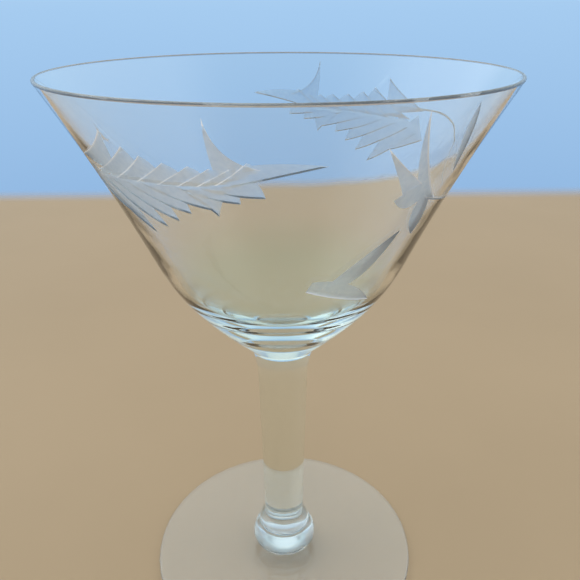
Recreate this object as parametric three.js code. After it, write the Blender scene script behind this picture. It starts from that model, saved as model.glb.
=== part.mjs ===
// A stemmed cocktail glass: a conical bowl, a solid stem, a collar, a knop and a flat round foot.
// Every piece is a solid of revolution about +Z. Millimetres. The origin is the centre of the foot's
// underside, on the surface that the glass stands on.
import * as THREE from "three";

// Driving dimensions: radii from the axis and heights above the table.
const HEIGHT = 132;
const RIM_RADIUS = 47.5;
const RIM_THICKNESS = 1;
const SHOULDER_RADIUS = 27.9; // where the side wall turns into the rounded bottom, outside
const SHOULDER_HEIGHT = 91.8;
const BOWL_FLOOR_HEIGHT = 74.2; // lowest point of the inside
const JOIN_HEIGHT = 67.2; // where the stem is fused to the bowl
const JOIN_RADIUS = 7.8;
const WALL_FLARE = 1.4; // how far the side wall bows towards the axis before it flares to the rim

const STEM_TOP_RADIUS = 7.6;
const STEM_FLARE_HEIGHT = 59; // below this height the stem is a plain taper
const STEM_NECK_RADIUS = 6.2;
const STEM_FOOT_RADIUS = 5.25;

const COLLAR_TOP_HEIGHT = 13;
const COLLAR_RADIUS = 7.1;

const KNOP_TOP_HEIGHT = 10;
const KNOP_TOP_RADIUS = 6.9;
const KNOP_RADIUS = 8.7;
const KNOP_WIDEST_HEIGHT = 5.8;
const KNOP_FOOT_RADIUS = 5.8;

const FOOT_RADIUS = 36;
const FOOT_EDGE_THICKNESS = 1.8;
const FOOT_CENTRE_THICKNESS = 2.4;

const SECTORS = 60; // flats around the axis, a multiple of four so that the box is the true diameter

const point = (radius, height) => new THREE.Vector2(radius, height);

// Points along a curve, without its first point, which the curve before it has already given.
function onward(curve, steps) {
  return curve.getPoints(steps).slice(1);
}

// A closed solid of revolution about +Z, from a profile of (radius, height) points drawn from the
// axis at the bottom, up the outside and back to the axis at the top.
function revolve(name, profile, colour, roughness) {
  const geometry = new THREE.LatheGeometry(profile, SECTORS);
  geometry.rotateX(Math.PI / 2);
  const material = new THREE.MeshStandardMaterial({
    color: colour,
    roughness,
    metalness: 0,
    transparent: true,
    opacity: 0.35,
  });
  const mesh = new THREE.Mesh(geometry, material);
  mesh.name = name;
  return mesh;
}

function bowlOutside() {
  const join = point(JOIN_RADIUS, JOIN_HEIGHT);
  const baseStart = point(8.4, 68.2);
  const shoulder = point(SHOULDER_RADIUS, SHOULDER_HEIGHT);
  const lip = point(RIM_RADIUS, HEIGHT - RIM_THICKNESS / 2);
  const wallBow = point((SHOULDER_RADIUS + RIM_RADIUS) / 2 - WALL_FLARE, (SHOULDER_HEIGHT + HEIGHT) / 2);
  const base = new THREE.CubicBezierCurve(baseStart, point(18.9, 77.6), point(25.2, 85.3), shoulder);
  const wall = new THREE.QuadraticBezierCurve(shoulder, wallBow, lip);
  return [join, baseStart, ...onward(base, 9), ...onward(wall, 5)];
}

// The rim is a half round, as a fire-polished edge is.
function rimLip() {
  const lipRadius = RIM_THICKNESS / 2;
  const halfRound = new THREE.EllipseCurve(
    RIM_RADIUS - lipRadius,
    HEIGHT - lipRadius,
    lipRadius,
    lipRadius,
    0,
    Math.PI,
  );
  return onward(halfRound, 6);
}

function bowlInside() {
  const lip = point(RIM_RADIUS - RIM_THICKNESS, HEIGHT - RIM_THICKNESS / 2);
  const shoulder = point(SHOULDER_RADIUS - 2.2, SHOULDER_HEIGHT - 1.2);
  const wallBow = point((shoulder.x + lip.x) / 2 - WALL_FLARE, (shoulder.y + lip.y) / 2);
  const floor = point(0, BOWL_FLOOR_HEIGHT);
  const wall = new THREE.QuadraticBezierCurve(lip, wallBow, shoulder);
  const base = new THREE.CubicBezierCurve(shoulder, point(22.6, 83.4), point(12, BOWL_FLOOR_HEIGHT), floor);
  return [...onward(wall, 5), ...onward(base, 10)];
}

function makeBowl() {
  const profile = [point(0, JOIN_HEIGHT), ...bowlOutside(), ...rimLip(), ...bowlInside()];
  return revolve("bowl", profile, 0xdcebea, 0.03);
}

function makeStem() {
  const top = point(STEM_TOP_RADIUS, JOIN_HEIGHT);
  const neck = point(STEM_NECK_RADIUS, STEM_FLARE_HEIGHT);
  const bottom = point(STEM_FOOT_RADIUS, COLLAR_TOP_HEIGHT);
  const flare = new THREE.QuadraticBezierCurve(neck, point(6.4, 63.5), top);
  const profile = [
    point(0, COLLAR_TOP_HEIGHT),
    bottom,
    neck,
    ...onward(flare, 6),
    point(0, JOIN_HEIGHT),
  ];
  return revolve("stem", profile, 0xdcebea, 0.03);
}

// A small ring that flares from the stem's end to a crease above the knop.
function makeCollar() {
  const bottom = point(KNOP_TOP_RADIUS, KNOP_TOP_HEIGHT);
  const top = point(STEM_FOOT_RADIUS, COLLAR_TOP_HEIGHT);
  const side = new THREE.CubicBezierCurve(
    bottom,
    point(COLLAR_RADIUS + 0.2, KNOP_TOP_HEIGHT + 0.7),
    point(COLLAR_RADIUS - 0.2, KNOP_TOP_HEIGHT + 1.7),
    top,
  );
  const profile = [point(0, KNOP_TOP_HEIGHT), bottom, ...onward(side, 6), point(0, COLLAR_TOP_HEIGHT)];
  return revolve("collar", profile, 0xdcebea, 0.03);
}

// A rounded button: a quarter ellipse below its widest ring and another above it, both cut off flat.
function makeKnop() {
  const arc = (endRadius, endHeight, start, end) => {
    const cut = Math.acos(endRadius / KNOP_RADIUS);
    const halfHeight = Math.abs(endHeight - KNOP_WIDEST_HEIGHT) / Math.sin(cut);
    return new THREE.EllipseCurve(0, KNOP_WIDEST_HEIGHT, KNOP_RADIUS, halfHeight, start * cut, end * cut);
  };
  const lower = arc(KNOP_FOOT_RADIUS, FOOT_CENTRE_THICKNESS, -1, 0);
  const upper = arc(KNOP_TOP_RADIUS, KNOP_TOP_HEIGHT, 0, 1);
  const profile = [
    point(0, FOOT_CENTRE_THICKNESS),
    ...lower.getPoints(5),
    ...onward(upper, 5),
    point(0, KNOP_TOP_HEIGHT),
  ];
  return revolve("knop", profile, 0xdcebea, 0.03);
}

// A thin disc, slightly thicker in the middle, with a fully rounded edge and a flat underside.
function makeFoot() {
  const edgeRadius = FOOT_EDGE_THICKNESS / 2;
  const edge = new THREE.EllipseCurve(
    FOOT_RADIUS - edgeRadius,
    edgeRadius,
    edgeRadius,
    edgeRadius,
    -Math.PI / 2,
    Math.PI / 2,
  );
  const knopSeat = point(KNOP_FOOT_RADIUS + 1.2, FOOT_CENTRE_THICKNESS);
  const profile = [point(0, 0), ...edge.getPoints(8), knopSeat, point(0, FOOT_CENTRE_THICKNESS)];
  return revolve("foot", profile, 0xd6e6e6, 0.04);
}

const glass = new THREE.Group();
glass.add(makeFoot(), makeKnop(), makeCollar(), makeStem(), makeBowl());

export default glass;
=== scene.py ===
"""A stemmed cocktail glass with a leaf engraving ground into its bowl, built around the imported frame.

The frame is in metres. Profiles and the engraving are drawn in millimetres: a profile point is
(radius, height above the table), and an engraving point is (degrees round the bowl, height). Degrees
count from the front (-Y) towards +X.
"""
import math

import bpy
import numpy as np
from mathutils import Matrix, Vector
from mathutils.geometry import delaunay_2d_cdt


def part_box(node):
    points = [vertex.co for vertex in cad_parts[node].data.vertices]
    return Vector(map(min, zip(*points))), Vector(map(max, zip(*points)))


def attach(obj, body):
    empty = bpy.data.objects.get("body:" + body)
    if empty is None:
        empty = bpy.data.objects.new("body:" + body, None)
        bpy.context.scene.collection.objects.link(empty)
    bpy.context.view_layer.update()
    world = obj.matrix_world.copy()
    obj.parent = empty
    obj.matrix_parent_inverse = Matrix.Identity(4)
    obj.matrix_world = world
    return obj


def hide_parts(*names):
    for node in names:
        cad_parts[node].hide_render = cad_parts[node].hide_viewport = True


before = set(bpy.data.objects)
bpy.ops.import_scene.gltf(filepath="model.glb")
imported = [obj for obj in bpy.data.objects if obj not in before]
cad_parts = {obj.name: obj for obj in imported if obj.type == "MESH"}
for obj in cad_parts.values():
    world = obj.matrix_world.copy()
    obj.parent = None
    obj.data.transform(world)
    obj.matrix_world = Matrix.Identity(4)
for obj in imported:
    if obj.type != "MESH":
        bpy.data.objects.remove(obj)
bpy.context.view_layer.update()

MM = 0.001
TINY = 1e-6
MERGE_DISTANCE = 1e-7  # metres
JOIN_GAP = 1e-3  # a level face this near to a join's height lies in the join
SECTORS = 192  # facets round the axis, a multiple of 96 so that the engraved panel's corners fall on them
FACET = 360.0 / SECTORS  # degrees
HALF_TURN = 180.0

# Sizes taken from the frame, in millimetres.
BOWL_LOW, BOWL_HIGH = (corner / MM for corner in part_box("bowl"))
STEM_LOW, STEM_HIGH = (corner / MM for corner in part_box("stem"))
COLLAR_LOW, COLLAR_HIGH = (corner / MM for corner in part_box("collar"))
KNOP_LOW, KNOP_HIGH = (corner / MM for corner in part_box("knop"))
FOOT_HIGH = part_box("foot")[1] / MM
RIM_RADIUS = BOWL_HIGH.x
RIM_HEIGHT = BOWL_HIGH.z
JOIN_HEIGHT = BOWL_LOW.z

# The bowl's drawn shape. Bends are the control points of Bezier curves.
LIP_RADIUS = 0.38
WALL_LEAN = math.radians(29.7)  # how far the wall leans out at the rim
WALL_BOW = 1.4  # how far the wall's middle control point lies inside the straight line
BEND_SPREAD = 3.0  # the length over which the wall turns into the base
PROFILE_STEP = 0.6  # spacing of the points along the softened profiles
JOIN_RADIUS = 7.8
BASE_START = (8.4, 68.2)
BASE_BENDS = ((18.9, 77.6), (25.2, 85.3))
SHOULDER = (27.9, 91.8)
INNER_SHOULDER = (25.7, 90.6)
BOWL_FLOOR = 74.2
FLOOR_BENDS = ((22.6, 83.4), (12.0, BOWL_FLOOR))

# The drawn shapes of the pieces below the bowl.
STEM_NECK = (6.2, 59.0)
STEM_FLARE_BEND = (6.4, 63.5)
STEM_END_RADIUS = 5.25
COLLAR_BENDS = ((7.0, 0.3), (7.2, 0.8), (6.9, 1.7))  # radius, and height above the collar's bottom
GROOVE_RADIUS = 6.3  # the crease between the collar and the knop
KNOP_SHOULDER = (7.0, 0.3)  # radius, and depth below the knop's top
KNOP_WIDEST = 5.8  # height of the widest ring
KNOP_SEAT_RADIUS = 5.8  # where the knop stands on the foot
FOOT_EDGE_RADIUS = 0.9
FOOT_BENDS = ((20.0, 1.9), (9.0, 2.1))


def bezier(points, steps):
    """steps + 1 points along the Bezier curve with these control points."""
    t = np.linspace(0.0, 1.0, steps + 1)[:, None]
    rows = [np.array(p, float)[None, :] * np.ones_like(t) for p in points]
    while len(rows) > 1:
        rows = [a * (1 - t) + b * t for a, b in zip(rows[:-1], rows[1:])]
    return rows[0]


def joined(*parts):
    """One polyline from several, leaving out each repeated first point."""
    points = [tuple(p) for p in parts[0]]
    for part in parts[1:]:
        points += [tuple(p) for p in part if math.dist(p, points[-1]) > TINY]
    return points


def eased(profile):
    """The same profile with its bends softened, evenly spaced, with its ends kept."""
    profile = np.array(profile, float)
    along = np.concatenate([[0], np.cumsum(np.linalg.norm(np.diff(profile, axis=0), axis=1))])
    spots = np.linspace(0, along[-1], int(along[-1] / PROFILE_STEP) + 2)
    even = np.stack([np.interp(spots, along, profile[:, k]) for k in (0, 1)], 1)
    room = np.minimum(spots, along[-1] - spots)
    result = []
    for at, width in zip(spots, np.minimum(BEND_SPREAD, room / 2)):
        weight = np.exp(-0.5 * ((spots - at) / max(width, TINY)) ** 2)
        result.append(weight @ even / weight.sum())
    return [tuple(p) for p in result]


# ---------------------------------------------------------------- the bowl's profile


def bowl_outside():
    """The bowl's outside from the join with the stem up to the lip."""
    lip_out = rim_lip()[0]
    bow = ((SHOULDER[0] + RIM_RADIUS) / 2 - WALL_BOW, (SHOULDER[1] + RIM_HEIGHT) / 2)
    base = bezier([BASE_START, *BASE_BENDS, SHOULDER], steps=60)
    wall = bezier([SHOULDER, bow, lip_out], steps=60)
    return joined([(JOIN_RADIUS, JOIN_HEIGHT)], eased(joined(base, wall)))


def rim_lip():
    """The fire-polished rim: half a turn of a small circle, square to the leaning wall."""
    centre = (RIM_RADIUS - LIP_RADIUS, RIM_HEIGHT - LIP_RADIUS)
    angles = np.linspace(-WALL_LEAN, math.pi - WALL_LEAN, 13)
    return [(centre[0] + LIP_RADIUS * math.cos(a), centre[1] + LIP_RADIUS * math.sin(a)) for a in angles]


def bowl_inside():
    """The bowl's inside from the lip down to the middle of its floor."""
    start = rim_lip()[-1]
    bow = ((INNER_SHOULDER[0] + start[0]) / 2 - WALL_BOW, (INNER_SHOULDER[1] + start[1]) / 2)
    wall = bezier([start, bow, INNER_SHOULDER], steps=30)
    base = bezier([INNER_SHOULDER, *FLOOR_BENDS, (0, BOWL_FLOOR)], steps=60)
    return eased(joined(wall, base))


OUTSIDE = np.array(bowl_outside())


def outside_radius(height):
    return np.interp(height, OUTSIDE[:, 1], OUTSIDE[:, 0])


def outside_slope(height):
    """How fast the outside widens with height."""
    step = 0.4
    return (outside_radius(height + step) - outside_radius(height - step)) / (2 * step)


# ---------------------------------------------------------------- meshes

CLEAR, JOIN, GROUND, PAINTED_HIGHLIGHT_FACE, RIM, POLISHED = range(6)  # the bowl's materials; the rest have two
LATHE_SPLIT = math.cos(math.radians(40))  # a profile that turns more than this has a sharp edge
CUT_SPLIT = math.cos(math.radians(35))  # the same between two faces in a cut


class Skin:
    """Faces with a material number and a normal for each corner, gathered before they become a mesh."""

    def __init__(self):
        self.points = []
        self.faces = []
        self.normals = []
        self.materials = []

    def add_points(self, points):
        """Adds points and returns the number of the first."""
        first = len(self.points)
        self.points += [tuple(p) for p in points]
        return first

    def add_face(self, corners, normals, material):
        self.faces.append(tuple(corners))
        self.normals.append([tuple(n) for n in normals])
        self.materials.append(material)

    def merged_faces(self, merged):
        """The faces on merged points: corners, all corner normals in a row, and material numbers."""
        faces, normals, numbers = [], [], []
        for face, face_normals, number in zip(self.faces, self.normals, self.materials):
            kept = []
            for corner, normal in zip(face, face_normals):
                if merged[corner] not in [c for c, _ in kept]:
                    kept.append((merged[corner], normal))
            if len(kept) > 2:
                faces.append([int(c) for c, _ in kept])
                normals += [n for _, n in kept]
                numbers.append(number)
        return faces, normals, numbers

    def to_object(self, name, materials):
        """One closed mesh, with points that lie on each other merged."""
        points = np.array(self.points) * MM
        keys = np.round(points / MERGE_DISTANCE).astype(np.int64)
        _, first, merged = np.unique(keys, axis=0, return_index=True, return_inverse=True)
        faces, normals, numbers = self.merged_faces(merged.reshape(-1))
        mesh = bpy.data.meshes.new(name)
        mesh.from_pydata([tuple(p) for p in points[first]], [], faces)
        mesh.polygons.foreach_set("material_index", numbers)
        mesh.polygons.foreach_set("use_smooth", [True] * len(faces))
        mesh.update()
        mesh.normals_split_custom_set([Vector(n).normalized() for n in normals])
        for material in materials:
            mesh.materials.append(material)
        obj = bpy.data.objects.new(name, mesh)
        bpy.context.scene.collection.objects.link(obj)
        return obj


def on_circle(radius, height, degrees):
    angle = math.radians(degrees)
    return (radius * math.sin(angle), -radius * math.cos(angle), height)


def segment_normal(a, b):
    """The outward (radial, up) normal of a profile segment that climbs on the outside."""
    dr, dz = b[0] - a[0], b[1] - a[1]
    length = math.hypot(dr, dz) or 1.0
    return np.array((dz / length, -dr / length))


def side_normals(profile):
    """For each segment of a profile, the normals at its two ends, blended across gentle turns."""
    segments = [segment_normal(a, b) for a, b in zip(profile[:-1], profile[1:])]
    sides = []
    for j, normal in enumerate(segments):
        ends = []
        for other in (j - 1, j + 1):
            near = segments[other] if 0 <= other < len(segments) else normal
            ends.append(normal + near if float(normal @ near) > LATHE_SPLIT else normal)
        sides.append(ends)
    return sides


def add_lathe(skin, profile, material_of):
    """Adds the surface swept by a profile, smooth except where the profile turns sharply."""
    rings = []
    for radius, height in profile:
        rings.append(skin.add_points([on_circle(radius, height, i * FACET) for i in range(SECTORS)]))
    for j, ends in enumerate(side_normals(profile)):
        low, high = rings[j], rings[j + 1]
        material = material_of(profile[j], profile[j + 1])
        for i in range(SECTORS):
            k = (i + 1) % SECTORS
            normals = []
            for turn, end in ((i, 0), (i + 1, 0), (i + 1, 1), (i, 1)):
                radial, up = ends[end]
                normals.append(on_circle(radial, up, turn * FACET))
            skin.add_face((low + i, low + k, high + k, high + i), normals, material)


def clear_or_join(joins):
    """Picks JOIN for the flat faces at the heights where two pieces are fused, and CLEAR elsewhere."""

    def pick(a, b):
        level = abs(a[1] - b[1]) < TINY
        return JOIN if level and any(abs(a[1] - height) < JOIN_GAP for height in joins) else CLEAR

    return pick


# ---------------------------------------------------------------- engraving

CUT_DEPTH = 0.28
RAMP = 0.17  # width of the steep side of a cut
POLISHED_RAMP = 0.8  # the same on a cut that was polished again, which rounds it
FOOT_RAMPS = 4  # how many times wider than that the slope across a leaf's foot is
EDGE_STEP = 0.5  # spacing of the points along an outline
FILL_STEP = 0.65  # spacing of the points inside a cut
FILL_ROW = 0.87  # height of a row of them, as a share of their spacing
LATTICE_GAP, FILL_GAP = 0.45, 0.25  # room left round the outlines by the points outside and inside cuts
PANEL_LOW, PANEL_HIGH = 87.0, 130.5
PANEL_FACETS = SECTORS // 2
PANEL_TURN = SHOULDER[1] + 3.0  # below this height the panel's rows are closer together
SEAM_JOG = (106.0, 112.0)  # heights between which the panel's sides slant, so that they miss every leaf
SEAM_TURNS = (3.75, 15.0)  # degrees at which the panel starts, below and above that
DEGREE_MM = 0.7  # length of one degree half way up the wall
SLANT = 1.1  # length along the wall for a millimetre of height
STALK_HALF_WIDTH = 0.2
STALK_DEPTH, THORN_DEPTH, SIDE_LEAF_DEPTH = 0.5, 0.45, 0.25  # as shares of the cuts' full depth


def seam(height):
    """The degrees at which the engraved panel starts. It ends half a turn further on."""
    return np.interp(height, SEAM_JOG, SEAM_TURNS)


def flat(points):
    """Engraving points in millimetres on the unrolled wall."""
    return np.array(points, float) * (DEGREE_MM, SLANT)


def leaves(rows, **kind):
    """A cut for each row: where its steep edge starts, its bend, the tip, the back's bend and start."""
    return [Cut([start, bend, tip], [foot, back, tip], **kind) for start, bend, tip, back, foot in rows]


def fern():
    """A serrated frond whose long tip points round the bowl, built on the far side of the panel."""
    thorn = [((145.5, 123.4), (141.0, 126.2), (140.0, 129.6), (140.4, 125.5), (138, 121))]
    lower = [
        ((114, 113.5), (126, 109.6), (137, 108.8), (131, 113.5), (122, 118.6)),
        ((118, 115.0), (130, 108.8), (139, 106.3), (136, 111.2), (130, 118.2)),
        ((124, 116.0), (136, 110.4), (146, 108.5), (144, 112.6), (138, 118.2)),
        ((130, 116.5), (142, 112.0), (151.5, 110.4), (151, 114.2), (146, 118.4)),
        ((136, 117.0), (148, 113.2), (156.5, 112.4), (157, 115.6), (153, 118.6)),
        ((143, 117.3), (155, 114.2), (163, 113.6), (164, 116.6), (160, 118.7)),
        ((156, 117.0), (161.5, 114.6), (164.3, 112.4), (165.5, 115.0), (168, 117.6)),
        ((154, 117.5), (163, 115.3), (170.5, 115.2), (171, 117.2), (168, 119.2)),
        ((160, 117.8), (169, 116.2), (176.5, 116.4), (176, 118.4), (174, 120.2)),
    ]
    upper = [
        ((120, 119.8), (133, 121.8), (140, 126.3), (139, 122.5), (137, 117.8)),
        ((125, 117.4), (136, 119.4), (144.5, 123.9), (147.0, 121.8), (149, 117.4)),
        ((134, 116.9), (142.5, 119.2), (148.6, 122.7), (152.2, 121.6), (154, 117.6)),
        ((142, 117.0), (149, 119.3), (154.2, 121.9), (157.8, 121.2), (160, 118.0)),
        ((149, 117.2), (155.5, 119.5), (160.2, 121.7), (163.2, 121.3), (165, 118.2)),
        ((155, 117.5), (160.8, 119.6), (164.8, 121.5), (167.4, 121.2), (169, 118.4)),
        ((160, 117.8), (165.4, 119.7), (169.2, 121.5), (171.6, 121.4), (173, 118.9)),
        ((165, 118.4), (169.8, 120.2), (173.2, 122.8), (175.6, 122.2), (177, 119.8)),
    ]
    long_tip = [((166, 117.6), (177, 120.0), (190, 122.0), (178, 123.6), (168, 121.4))]
    spur = [((176, 121.5), (166.5, 122.9), (166.3, 129.8), (165.2, 125.4), (166, 119.6))]
    # The thorn was polished clear again after it was ground. A later cut's finish covers an earlier one's.
    cuts = leaves(thorn, depth=THORN_DEPTH, finish=POLISHED, crest=False)
    cuts += leaves(lower, crest=False) + leaves(upper)
    cuts += leaves(long_tip, crest=False) + leaves(spur)
    return cuts


def star():
    """Four pointed leaves from one point, a shallow one beside them, and a large leaf of two cuts below."""
    beside = [((50.0, 117.0), (47.5, 124.5), (41.2, 130.4), (41.6, 123.5), (50.0, 117.0))]
    spread = [
        ((40.5, 115.2), (37.0, 108.6), (46.4, 104.6), (50.0, 108.4), (43.2, 113.6)),
        ((38.4, 116.8), (34.0, 116.1), (29.7, 114.0), (36.0, 109.6), (41.5, 114.0)),
        ((38.0, 116.2), (28.5, 120.0), (21.8, 124.5), (26.2, 119.8), (32.5, 114.4)),
        ((49.0, 111.8), (35.0, 117.8), (28.0, 130.2), (30.6, 120.0), (38.5, 114.0)),
    ]
    below = [
        ((38.8, 106.9), (27.5, 102.8), (14.5, 95.5), (32.0, 94.0), (38.8, 106.9)),
        ((8.5, 95.3), (22.0, 92.2), (40.0, 89.8), (24.0, 98.4), (10.6, 97.7)),
    ]
    return leaves(beside, depth=SIDE_LEAF_DEPTH, crest=False) + leaves(spread + below)


def stalk():
    """The thin arching line from the star to the frond, as two narrow cuts end to end."""
    high = [(89.0, 112.5), (99.0, 122.8), (134.0, 119.2)]
    low = [(89.1, 112.6), (82.0, 105.5), (42.0, 113.0)]
    cuts = []
    for route in (high, low):
        steep = [(turn, height + STALK_HALF_WIDTH) for turn, height in route]
        gentle = [(turn, height - STALK_HALF_WIDTH) for turn, height in route]
        cuts.append(Cut(steep, gentle, depth=STALK_DEPTH))
    return cuts


def distance_to(points, line):
    """Distance from each point to a polyline."""
    a, b = line[:-1], line[1:]
    along = b - a
    offset = points[:, None, :] - a[None]
    share = (offset * along).sum(2) / np.maximum((along * along).sum(1), 1e-12)
    nearest = a[None] + np.clip(share, 0, 1)[..., None] * along[None]
    return np.linalg.norm(points[:, None, :] - nearest, axis=2).min(1)


def inside_outline(points, outline):
    """Which points lie inside a closed outline."""
    x, y = points[:, 0][:, None], points[:, 1][:, None]
    a, b = outline, np.roll(outline, -1, axis=0)
    crosses = (a[:, 1] > y) != (b[:, 1] > y)
    rise = np.where(np.abs(b[:, 1] - a[:, 1]) < 1e-12, 1e-12, b[:, 1] - a[:, 1])
    at = a[:, 0] + (y - a[:, 1]) / rise * (b[:, 0] - a[:, 0])
    return (np.logical_and(crosses, x < at).sum(1) % 2) == 1


def edge_curve(points):
    """An edge of a cut on the unrolled wall, with a point about every EDGE_STEP."""
    points = flat(points)
    length = sum(math.dist(a, b) for a, b in zip(points[:-1], points[1:]))
    return bezier(points, max(3, int(math.ceil(length / EDGE_STEP))))


class Cut:
    """A wheel cut between a steep edge and a gentle one, each a curve that ends at the leaf's tip.

    It holds what the mesh needs: the outline, the foot of the steep side, and the depth anywhere.
    """

    def __init__(self, steep, gentle, depth=1.0, finish=GROUND, crest=True):
        self.depth = depth * CUT_DEPTH
        self.finish = finish
        self.crest = crest  # whether a painted highlight, a white opaque copy of the ground glass, runs along the steep edge
        self.ramp = POLISHED_RAMP if finish == POLISHED else RAMP
        self.steep = edge_curve(steep)
        self.gentle = edge_curve(gentle)
        self.foot = np.array([self.gentle[0], self.steep[0]])
        pointed = math.dist(self.gentle[0], self.steep[0]) < TINY
        back = self.gentle[-2:0:-1] if pointed else self.gentle[-2::-1]
        self.outline = np.concatenate([self.steep, back])
        self.trough = self.make_trough()

    def make_trough(self):
        """The line at the foot of the steep side, where the cut is deepest."""
        tangent = np.gradient(self.steep, axis=0)
        tangent /= np.linalg.norm(tangent, axis=1)[:, None]
        for side in (1, -1):
            line = self.steep + self.ramp * side * np.stack([-tangent[:, 1], tangent[:, 0]], 1)
            keep = inside_outline(line, self.outline) & (distance_to(line, self.gentle) > self.ramp)
            if keep[1:-1].sum() > 2:
                return line[keep]
        return np.zeros((0, 2))

    def depth_at(self, points):
        """How deep the cut is below the wall at each point."""
        depth = np.zeros(len(points))
        low, high = self.outline.min(0), self.outline.max(0)
        near = np.where(((points >= low) & (points <= high)).all(1))[0]
        if len(near):
            near = near[inside_outline(points[near], self.outline)]
        if not len(near):
            return depth
        steep = distance_to(points[near], self.steep)
        gentle = distance_to(points[near], self.gentle)
        foot = distance_to(points[near], self.foot)
        fall = gentle / np.maximum(steep + gentle, 1e-9)
        sides = np.minimum(1, steep / self.ramp) * np.minimum(1, foot / (FOOT_RAMPS * self.ramp))
        depth[near] = self.depth * sides * fall
        return depth


def depth_of(cuts, points):
    """The engraving's depth: where cuts overlap, the deepest one counts."""
    return np.max([cut.depth_at(points) for cut in cuts], axis=0)


class Plan:
    """Points and fixed edges on the unrolled wall, gathered for the triangulation."""

    def __init__(self):
        self.points = []
        self.edges = []

    def add_points(self, points):
        self.points.extend(tuple(p) for p in points)

    def add_line(self, line, closed=False):
        first = len(self.points)
        last = first + len(line) - 1
        self.add_points(line)
        self.edges.extend((i, i + 1) for i in range(first, last))
        if closed:
            self.edges.append((last, first))


def panel_heights():
    """Heights of the panel's rows of points, closer together where the wall turns into the base."""
    low = np.linspace(PANEL_LOW, PANEL_TURN, 11)
    return np.concatenate([low, np.linspace(PANEL_TURN, PANEL_HIGH, 26)[1:]])


def panel_border(heights):
    """The panel's outline, once round, with a point at every facet and every row."""
    facets = range(PANEL_FACETS + 1)
    bottom = [(seam(PANEL_LOW) + i * FACET, PANEL_LOW) for i in facets]
    top = [(seam(PANEL_HIGH) + i * FACET, PANEL_HIGH) for i in facets]
    right = [(seam(h) + HALF_TURN, h) for h in heights]
    left = [(seam(h), h) for h in heights]
    return flat(bottom[:-1] + right[:-1] + top[:0:-1] + left[:0:-1])


def lattice_points(heights, cuts):
    """A regular grid over the uncut wall."""
    lattice = flat([(seam(h) + i * FACET, h) for h in heights[1:-1] for i in range(1, PANEL_FACETS)])
    return lattice[depth_of(cuts, lattice) == 0]


def fill_points(outlines, cuts):
    """A triangular grid inside the cuts."""
    low, high = outlines.min(0), outlines.max(0)
    across = np.arange(low[0], high[0], FILL_STEP)
    up = np.arange(low[1], high[1], FILL_STEP * FILL_ROW)
    fill = np.array([(x + (j % 2) * FILL_STEP / 2, y) for j, y in enumerate(up) for x in across])
    return fill[depth_of(cuts, fill) > 0]


def away_from(others, points, gap):
    """Those of the points that are further than a gap from all the others, taken in blocks."""
    blocks = np.array_split(points, 40)
    nearest = [np.linalg.norm(block[:, None, :] - others[None], axis=2).min(1) for block in blocks]
    return points[np.concatenate(nearest) > gap]


def panel_plan(cuts):
    """All the points and fixed edges of the unrolled panel."""
    heights = panel_heights()
    plan = Plan()
    plan.add_line(panel_border(heights), closed=True)
    for cut in cuts:
        plan.add_line(cut.outline, closed=True)
        if len(cut.trough) > 1:
            plan.add_line(cut.trough)
    outlines = np.concatenate([cut.outline for cut in cuts] + [cut.trough for cut in cuts])
    plan.add_points(away_from(outlines, lattice_points(heights, cuts), LATTICE_GAP))
    plan.add_points(away_from(outlines, fill_points(outlines, cuts), FILL_GAP))
    return plan


def finish_of(cuts, centres):
    """The material number of each triangle. A painted highlight along a steep edge covers every cut's own
    finish.
    """
    finish = np.full(len(centres), CLEAR)
    for cut in cuts:
        finish[inside_outline(centres, cut.outline)] = cut.finish
    for cut in cuts:
        if cut.crest:
            inside = np.where(inside_outline(centres, cut.outline))[0]
            finish[inside[distance_to(centres[inside], cut.steep) < RAMP]] = PAINTED_HIGHLIGHT_FACE
    return finish


def engraved_panel(cuts):
    """Points, triangles, each triangle's material and each point's depth, for one half of the wall."""
    plan = panel_plan(cuts)
    found = delaunay_2d_cdt([Vector(p) for p in plan.points], plan.edges, [], 0, 1e-5)
    places = np.array([(v.x, v.y) for v in found[0]])
    triangles = np.array([f for f in found[2] if len(f) == 3])
    centres = places[triangles].mean(1)
    turn, height = centres[:, 0] / DEGREE_MM, centres[:, 1] / SLANT
    inside = (turn > seam(height)) & (turn < seam(height) + HALF_TURN)
    inside &= (height > PANEL_LOW) & (height < PANEL_HIGH)
    finish = finish_of(cuts, centres[inside])
    return places / (DEGREE_MM, SLANT), triangles[inside], finish, depth_of(cuts, places)


def wall_normal(turn, height):
    slope = outside_slope(height)
    length = math.hypot(1.0, slope)
    return Vector(on_circle(1.0 / length, -slope / length, turn))


def corner_normals(triangles, finish, spots, wall_normals):
    """Each triangle's normals: the wall's on clear faces and on the painted-highlight crests, and its own,
    smoothed, in a cut.
    """
    faces = [(spots[b] - spots[a]).cross(spots[c] - spots[a]) for a, b, c in triangles]
    around = {}
    for number in np.nonzero(finish != CLEAR)[0]:
        for corner in triangles[number]:
            around.setdefault(int(corner), []).append(number)
    result = []
    for number, triangle in enumerate(triangles):
        if finish[number] in (CLEAR, PAINTED_HIGHLIGHT_FACE):
            result.append([wall_normals[corner] for corner in triangle])
            continue
        own = faces[number].normalized()
        smoothed = []
        for corner in triangle:
            near = [faces[other] for other in around[int(corner)]]
            smoothed.append(sum((n for n in near if own.dot(n.normalized()) > CUT_SPLIT), Vector()))
        result.append(smoothed)
    return result


def add_engraved_wall(skin):
    """The bowl's outside wall, in two halves: the frond with the star and stalk, and the frond alone."""
    for start, cuts in ((0.0, fern() + star() + stalk()), (HALF_TURN, fern())):
        places, triangles, finish, depth = engraved_panel(cuts)
        spots, normals = [], []
        for (turn, height), cut in zip(places, depth):
            normal = wall_normal(turn + start, height)
            normals.append(normal)
            spot = Vector(on_circle(float(outside_radius(height)), height, turn + start))
            spots.append(spot - normal * float(cut))
        first = skin.add_points(spots)
        corners = corner_normals(triangles, finish, spots, normals)
        for triangle, number, face_normals in zip(triangles, finish, corners):
            skin.add_face([first + int(c) for c in triangle], face_normals, int(number))


# ---------------------------------------------------------------- materials

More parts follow.
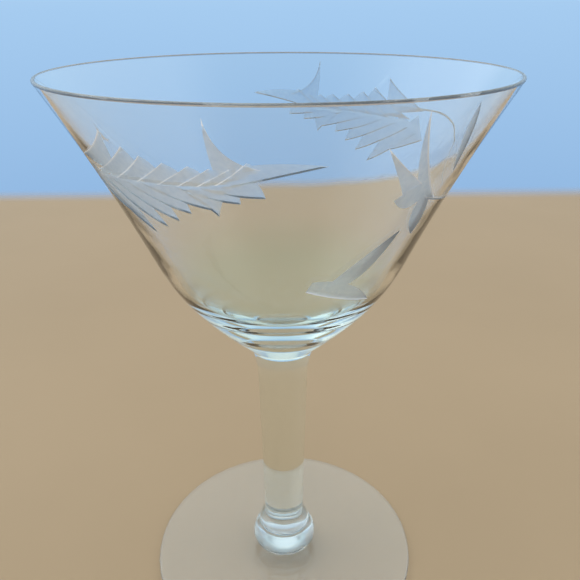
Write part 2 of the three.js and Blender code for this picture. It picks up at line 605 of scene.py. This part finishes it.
GLASS_IOR = 1.51
THIN_TINT = (0.99, 0.997, 0.995, 1)
# KNOP_PAINTED_BLUE is painted light: a blue tint, darker than the glass's own, that stands in for the blue
# surround the knop refracts and the shade of its darker bands.
KNOP_PAINTED_BLUE = (0.78, 0.88, 0.93, 1)
STEM_TINT = (0.94, 0.985, 0.972, 1)
BASE_TINT = (0.83, 0.97, 0.95, 1)
GLASS_TINTS = (  # by height, as a share of the glass's own: foot, knop, stem, the bowl's base, its wall
    (0.015, THIN_TINT),
    (0.025, KNOP_PAINTED_BLUE),
    (0.075, KNOP_PAINTED_BLUE),
    (0.1, STEM_TINT),
    (0.48, STEM_TINT),
    (0.53, BASE_TINT),
    (0.62, BASE_TINT),
    (0.70, THIN_TINT),
)
# The darkest and lightest tone of each surface, between which a fine noise varies.
STREAK_TONES = ((0.985, 0.99, 0.99, 1), (1, 1, 1, 1))
# RIM_SHADE_TONES are painted shade: a grey that turns the clear fire-polished rim into the grey band that
# refraction gives it.
RIM_SHADE_TONES = ((0.62, 0.6, 0.6, 1), (0.74, 0.73, 0.74, 1))
# GROUND_PAINTED_BLUE_TONES are painted light: ground glass is white, and this blue-grey stands in for the
# blue room light it scatters.
GROUND_PAINTED_BLUE_TONES = ((0.74, 0.83, 0.92, 1), (0.88, 0.95, 1, 1))
# CREST_HIGHLIGHT_TONES are a painted highlight: a white, opaque copy of the ground glass that makes each
# steep edge read as a bright line.
CREST_HIGHLIGHT_TONES = ((0.97, 0.98, 0.98, 1), (1, 1, 1, 1))
FLOOR_TONES = ((0.5, 0.33, 0.19, 1), (0.53, 0.351, 0.204, 1))
FLOOR_FADE = (0.345, 0.385)  # metres from the glass to where the floor starts to fade, and where it ends
FLOOR_DROP = 0.0002  # metres from the foot down to the floor, so that the two faces never lie on each other


def new_material(name):
    material = bpy.data.materials.new(name)
    material.use_nodes = True
    return material, material.node_tree, material.node_tree.nodes["Principled BSDF"]


def set_stops(ramp, stops):
    """Gives a colour ramp these (position, colour) stops."""
    elements = ramp.color_ramp.elements
    elements[0].position, elements[0].color = stops[0]
    elements[1].position, elements[1].color = stops[-1]
    for position, colour in stops[1:-1]:
        elements.new(position).color = colour


def add_noise(tree, scale, detail):
    """A soft noise over the object."""
    place = tree.nodes.new("ShaderNodeTexCoord")
    noise = tree.nodes.new("ShaderNodeTexNoise")
    noise.inputs["Scale"].default_value = scale
    noise.inputs["Detail"].default_value = detail
    tree.links.new(place.outputs["Object"], noise.inputs["Vector"])
    return noise.outputs["Fac"]


def add_tones(tree, scale, tones):
    """A colour that varies softly between two tones."""
    ramp = tree.nodes.new("ShaderNodeValToRGB")
    set_stops(ramp, ((0.3, tones[0]), (0.7, tones[1])))
    tree.links.new(add_noise(tree, scale, detail=3.0), ramp.inputs["Fac"])
    return ramp.outputs["Color"]


def add_bumps(tree, shader, scale, strength, distance):
    bump = tree.nodes.new("ShaderNodeBump")
    bump.inputs["Strength"].default_value = strength
    bump.inputs["Distance"].default_value = distance
    tree.links.new(add_noise(tree, scale, detail=2.0), bump.inputs["Height"])
    tree.links.new(bump.outputs["Normal"], shader.inputs["Normal"])


def glass_material(name, transmission, roughness):
    material, tree, shader = new_material(name)
    shader.inputs["Transmission Weight"].default_value = transmission
    shader.inputs["IOR"].default_value = GLASS_IOR
    shader.inputs["Roughness"].default_value = roughness
    return material, tree, shader


def clear_glass(name, transmission=1.0, roughness=0.0):
    """Glass with the slight ripple of blown glass, tinted by height: most of all where it is thick. Round
    the knop the tint is painted light, a blue that darkens it for the blue surround it refracts.
    """
    material, tree, shader = glass_material(name, transmission, roughness)
    place = tree.nodes.new("ShaderNodeTexCoord")
    split = tree.nodes.new("ShaderNodeSeparateXYZ")
    height = tree.nodes.new("ShaderNodeMapRange")
    height.inputs["From Max"].default_value = RIM_HEIGHT * MM
    ramp = tree.nodes.new("ShaderNodeValToRGB")
    set_stops(ramp, GLASS_TINTS)
    blend = tree.nodes.new("ShaderNodeMixRGB")
    blend.blend_type = "MULTIPLY"
    blend.inputs["Fac"].default_value = 1.0
    tree.links.new(place.outputs["Object"], split.inputs[0])
    tree.links.new(split.outputs["Z"], height.inputs["Value"])
    tree.links.new(height.outputs["Result"], ramp.inputs["Fac"])
    tree.links.new(ramp.outputs["Color"], blend.inputs["Color1"])
    tree.links.new(add_tones(tree, 18.0, STREAK_TONES), blend.inputs["Color2"])
    tree.links.new(blend.outputs["Color"], shader.inputs["Base Color"])
    add_bumps(tree, shader, 60.0, 0.25, 0.0004)
    return material


def matt_glass(name, transmission, roughness, tones):
    """Glass that scatters light: a wheel-cut face with the fine grain of the wheel, or the rim. Its tones
    are painted light: grey shade on the rim, blue room light on the ground faces, a white highlight on the
    crests.
    """
    material, tree, shader = glass_material(name, transmission, roughness)
    tree.links.new(add_tones(tree, 900.0, tones), shader.inputs["Base Color"])
    add_bumps(tree, shader, 3500.0, 0.35, 0.00005)
    return material


def fused_face():
    """The inner face where two pieces are fused: hot glass leaves no seam, so light passes it unbent."""
    material, _, shader = new_material("fused_face")
    shader.inputs["Alpha"].default_value = 0.0
    return material


def distance_from_axis(tree):
    """The larger of |x| and |y| over the object."""
    place = tree.nodes.new("ShaderNodeTexCoord")
    split = tree.nodes.new("ShaderNodeSeparateXYZ")
    tree.links.new(place.outputs["Object"], split.inputs[0])
    reach = tree.nodes.new("ShaderNodeMath")
    reach.operation = "MAXIMUM"
    for number, axis in enumerate("XY"):
        size = tree.nodes.new("ShaderNodeMath")
        size.operation = "ABSOLUTE"
        tree.links.new(split.outputs[axis], size.inputs[0])
        tree.links.new(size.outputs[0], reach.inputs[number])
    return reach.outputs[0]


def floor_material():
    """A pale, warm, plain table top whose far edges fade softly into the backdrop."""
    material, tree, shader = new_material("studio_floor")
    shader.inputs["Roughness"].default_value = 0.6
    tree.links.new(add_tones(tree, 9.0, FLOOR_TONES), shader.inputs["Base Color"])
    fade = tree.nodes.new("ShaderNodeMapRange")
    fade.interpolation_type = "SMOOTHSTEP"
    fade.inputs["From Min"].default_value, fade.inputs["From Max"].default_value = FLOOR_FADE
    fade.inputs["To Min"].default_value = 1.0
    fade.inputs["To Max"].default_value = 0.0
    tree.links.new(distance_from_axis(tree), fade.inputs["Value"])
    tree.links.new(fade.outputs["Result"], shader.inputs["Alpha"])
    return material


# ---------------------------------------------------------------- pieces


def make_bowl(materials):
    skin = Skin()
    outside = bowl_outside()
    below = [p for p in outside if p[1] < PANEL_LOW - TINY]
    above = [p for p in outside if p[1] > PANEL_HIGH + TINY]
    low_edge = (float(outside_radius(PANEL_LOW)), PANEL_LOW)
    high_edge = (float(outside_radius(PANEL_HIGH)), PANEL_HIGH)
    pick = clear_or_join([JOIN_HEIGHT])
    add_lathe(skin, joined([(0, JOIN_HEIGHT)], below, [low_edge]), pick)
    add_engraved_wall(skin)
    add_lathe(skin, joined([high_edge], above), pick)
    add_lathe(skin, rim_lip(), lambda a, b: RIM)
    add_lathe(skin, bowl_inside(), pick)
    return skin.to_object("glass_bowl", materials)


def make_stem(materials):
    low, high = STEM_LOW.z, STEM_HIGH.z
    taper = bezier([(STEM_END_RADIUS, low), STEM_NECK], steps=24)
    flare = bezier([STEM_NECK, STEM_FLARE_BEND, (STEM_HIGH.x, high)], steps=24)
    skin = Skin()
    add_lathe(skin, joined([(0, low)], taper, flare, [(0, high)]), clear_or_join([low, high]))
    return skin.to_object("glass_stem", materials)


def make_collar(materials):
    low, high = COLLAR_LOW.z, COLLAR_HIGH.z
    bends = [(radius, low + rise) for radius, rise in COLLAR_BENDS]
    flare = bezier([*bends, (STEM_END_RADIUS, high)], steps=20)
    skin = Skin()
    profile = joined([(0, low), (GROOVE_RADIUS, low)], flare, [(0, high)])
    add_lathe(skin, profile, clear_or_join([low, high]))
    return skin.to_object("glass_collar", materials)


def knop_arc(end_radius, end_height):
    """Points from the knop's widest ring along an ellipse to this end."""
    radius = KNOP_HIGH.x
    cut = math.acos(end_radius / radius)
    half = (end_height - KNOP_WIDEST) / math.sin(cut)
    return [(radius * math.cos(a), KNOP_WIDEST + half * math.sin(a)) for a in np.linspace(0, cut, 17)]


def make_knop(materials):
    low, high = KNOP_LOW.z, KNOP_HIGH.z
    lower = knop_arc(KNOP_SEAT_RADIUS, low)[::-1]
    upper = knop_arc(KNOP_SHOULDER[0], high - KNOP_SHOULDER[1])
    skin = Skin()
    profile = joined([(0, low)], lower, upper, [(GROOVE_RADIUS, high), (0, high)])
    add_lathe(skin, profile, clear_or_join([low, high]))
    return skin.to_object("glass_knop", materials)


def make_foot(materials):
    radius, centre = FOOT_HIGH.x, FOOT_HIGH.z
    round_edge = FOOT_EDGE_RADIUS
    edge = [
        (radius - round_edge + round_edge * math.cos(a), round_edge + round_edge * math.sin(a))
        for a in np.linspace(-math.pi / 2, math.pi / 2, 17)
    ]
    top = bezier([edge[-1], *FOOT_BENDS, (KNOP_SEAT_RADIUS, centre)], steps=30)
    skin = Skin()
    add_lathe(skin, joined([(0, 0)], edge, top, [(0, centre)]), clear_or_join([centre]))
    return skin.to_object("glass_foot", materials)


# ---------------------------------------------------------------- stage, light and camera

SKY = (  # by height of the line of sight, as a share of the way from SKY_START to straight up
    (0.05, (0.27, 0.46, 0.74, 1)),
    (0.28, (0.38, 0.60, 0.87, 1)),
    (0.46, (0.68, 0.88, 1.02, 1)),
    (0.68, (0.98, 1.08, 1.08, 1)),
)
SKY_START = -0.4  # sine of the lowest angle that the sky's colours tell apart
PATCHES = [  # direction, its reach (cosines of its outer and inner angle), how it blends, its colour
    ((-0.75, 0.45, 0.5), (0.75, 0.97), "ADD", (0.45, 0.48, 0.48, 1)),  # the window side
    ((0.0, -0.9, 0.45), (0.35, 0.9), "MULTIPLY", (0.38, 0.42, 0.47, 1)),  # the dimmer side the camera is on
]
# The front light and the camera, in metres, watts, millimetres of lens and degrees.
LIGHT_SIZE = 0.3
LIGHT_POWER = 1.0
LIGHT_COLOUR = (0.92, 0.97, 1.0)
LIGHT_PLACE = (-0.12, -0.5, 0.05)
LIGHT_TARGET = (0, 0, 0.11)
CAMERA_LENS = 38.1
CAMERA_DISTANCE = 0.1322  # in front of the glass's axis
CAMERA_ABOVE_RIM = 0.0122
CAMERA_PITCH, CAMERA_YAW, CAMERA_ROLL = 25.1, 0.83, -0.2


def make_stage():
    mesh = bpy.data.meshes.new("studio_floor")
    places = np.linspace(-FLOOR_FADE[1], FLOOR_FADE[1], 25)
    points = [(x, y, 0.0) for y in places for x in places]
    count = len(places)
    corners = [j * count + i for j in range(count - 1) for i in range(count - 1)]
    mesh.from_pydata(points, [], [(c, c + 1, c + count + 1, c + count) for c in corners])
    mesh.materials.append(floor_material())
    floor = bpy.data.objects.new("studio_floor", mesh)
    floor.location.z = -FLOOR_DROP
    bpy.context.scene.collection.objects.link(floor)


def add_patch(tree, sight, colour, direction, reach, blend, shade):
    """Blends a feathered patch into the surround, such as a bright window or a dim side of the room."""
    toward = tree.nodes.new("ShaderNodeVectorMath")
    toward.operation = "DOT_PRODUCT"
    toward.inputs[1].default_value = Vector(direction).normalized()
    patch = tree.nodes.new("ShaderNodeMapRange")
    patch.interpolation_type = "SMOOTHSTEP"
    patch.inputs["From Min"].default_value, patch.inputs["From Max"].default_value = reach
    mix = tree.nodes.new("ShaderNodeMixRGB")
    mix.blend_type = blend
    mix.inputs["Color2"].default_value = shade
    tree.links.new(sight, toward.inputs[0])
    tree.links.new(toward.outputs["Value"], patch.inputs["Value"])
    tree.links.new(patch.outputs["Result"], mix.inputs["Fac"])
    tree.links.new(colour, mix.inputs["Color1"])
    return mix.outputs["Color"]


def make_world():
    """A soft studio surround: pale blue at the horizon, white overhead, with one bright and one dim side."""
    world = bpy.data.worlds.new("studio")
    bpy.context.scene.world = world
    world.use_nodes = True
    tree = world.node_tree
    background = tree.nodes["Background"]
    place = tree.nodes.new("ShaderNodeTexCoord")
    split = tree.nodes.new("ShaderNodeSeparateXYZ")
    rise = tree.nodes.new("ShaderNodeMapRange")
    rise.inputs["From Min"].default_value = SKY_START
    ramp = tree.nodes.new("ShaderNodeValToRGB")
    set_stops(ramp, SKY)
    tree.links.new(place.outputs["Generated"], split.inputs[0])
    tree.links.new(split.outputs["Z"], rise.inputs["Value"])
    tree.links.new(rise.outputs["Result"], ramp.inputs["Fac"])
    colour = ramp.outputs["Color"]
    for patch in PATCHES:
        colour = add_patch(tree, place.outputs["Generated"], colour, *patch)
    tree.links.new(colour, background.inputs["Color"])
    background.inputs["Strength"].default_value = 1.0


def make_front_light():
    """A low, soft light in front that lifts the engraving. The polished glass doesn't show it."""
    data = bpy.data.lights.new("front_softbox", "AREA")
    data.shape = "DISK"
    data.size = LIGHT_SIZE
    data.energy = LIGHT_POWER
    data.color = LIGHT_COLOUR
    lamp = bpy.data.objects.new("front_softbox", data)
    lamp.location = LIGHT_PLACE
    aim = Vector(LIGHT_TARGET) - lamp.location
    lamp.rotation_euler = aim.to_track_quat("-Z", "Y").to_euler()
    lamp.visible_camera = False
    lamp.visible_glossy = False
    lamp.visible_transmission = False
    bpy.context.scene.collection.objects.link(lamp)


def make_camera():
    """The camera stands close, a little above the rim, and looks down at the stem."""
    data = bpy.data.cameras.new("camera")
    data.sensor_width = 36.0
    data.lens = CAMERA_LENS
    data.clip_start = 0.01
    camera = bpy.data.objects.new("camera", data)
    pitch, yaw = math.radians(CAMERA_PITCH), math.radians(CAMERA_YAW)
    forward = Vector((math.sin(yaw) * math.cos(pitch), math.cos(yaw) * math.cos(pitch), -math.sin(pitch)))
    roll = Matrix.Rotation(math.radians(CAMERA_ROLL), 3, "Z")
    turn = forward.to_track_quat("-Z", "Y").to_matrix() @ roll
    place = Matrix.Translation((0, -CAMERA_DISTANCE, RIM_HEIGHT * MM + CAMERA_ABOVE_RIM))
    camera.matrix_world = place @ turn.to_4x4()
    bpy.context.scene.collection.objects.link(camera)
    bpy.context.scene.camera = camera


def set_light_paths():
    """Light crosses many glass faces in the thick base and the knop, so short paths would go black."""
    paths = bpy.context.scene.cycles
    paths.max_bounces = 64
    paths.transmission_bounces = 64
    paths.glossy_bounces = 12
    paths.transparent_max_bounces = 32
    bpy.context.scene.view_settings.view_transform = "Standard"


def main():
    set_light_paths()
    make_camera()
    make_world()
    make_front_light()
    make_stage()
    clear, join = clear_glass("clear_glass"), fused_face()
    tooled = clear_glass("clear_glass_pressed", roughness=0.09)
    # painted sheen: the 5% of the foot that is white and diffuse makes it lighter, standing in for the
    # bright room it reflects
    sheen_veiled_foot = clear_glass("clear_glass_foot_painted_sheen", transmission=0.95)
    # the rim, with its grey painted shade
    rim = matt_glass("fire_polished_rim_painted_shade", 0.75, 0.2, RIM_SHADE_TONES)
    # ground glass with the blue of the room painted into it
    ground = matt_glass("ground_glass", 0.78, 0.4, GROUND_PAINTED_BLUE_TONES)
    # a painted highlight: white ground glass that lets no light through, on the steep edges
    crest = matt_glass("ground_glass_painted_highlight", 0.0, 0.6, CREST_HIGHLIGHT_TONES)
    makers = {
        "bowl": (make_bowl, [clear, join, ground, crest, rim, clear]),
        "stem": (make_stem, [clear, join]),
        "collar": (make_collar, [tooled, join]),
        "knop": (make_knop, [tooled, join]),
        "foot": (make_foot, [sheen_veiled_foot, join]),
    }
    for node, (maker, materials) in makers.items():
        piece = maker(materials)
        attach(piece, "root")
        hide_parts(node)
        piece.visible_shadow = node != "foot"  # daylight reaches the floor through the thin clear foot


main()
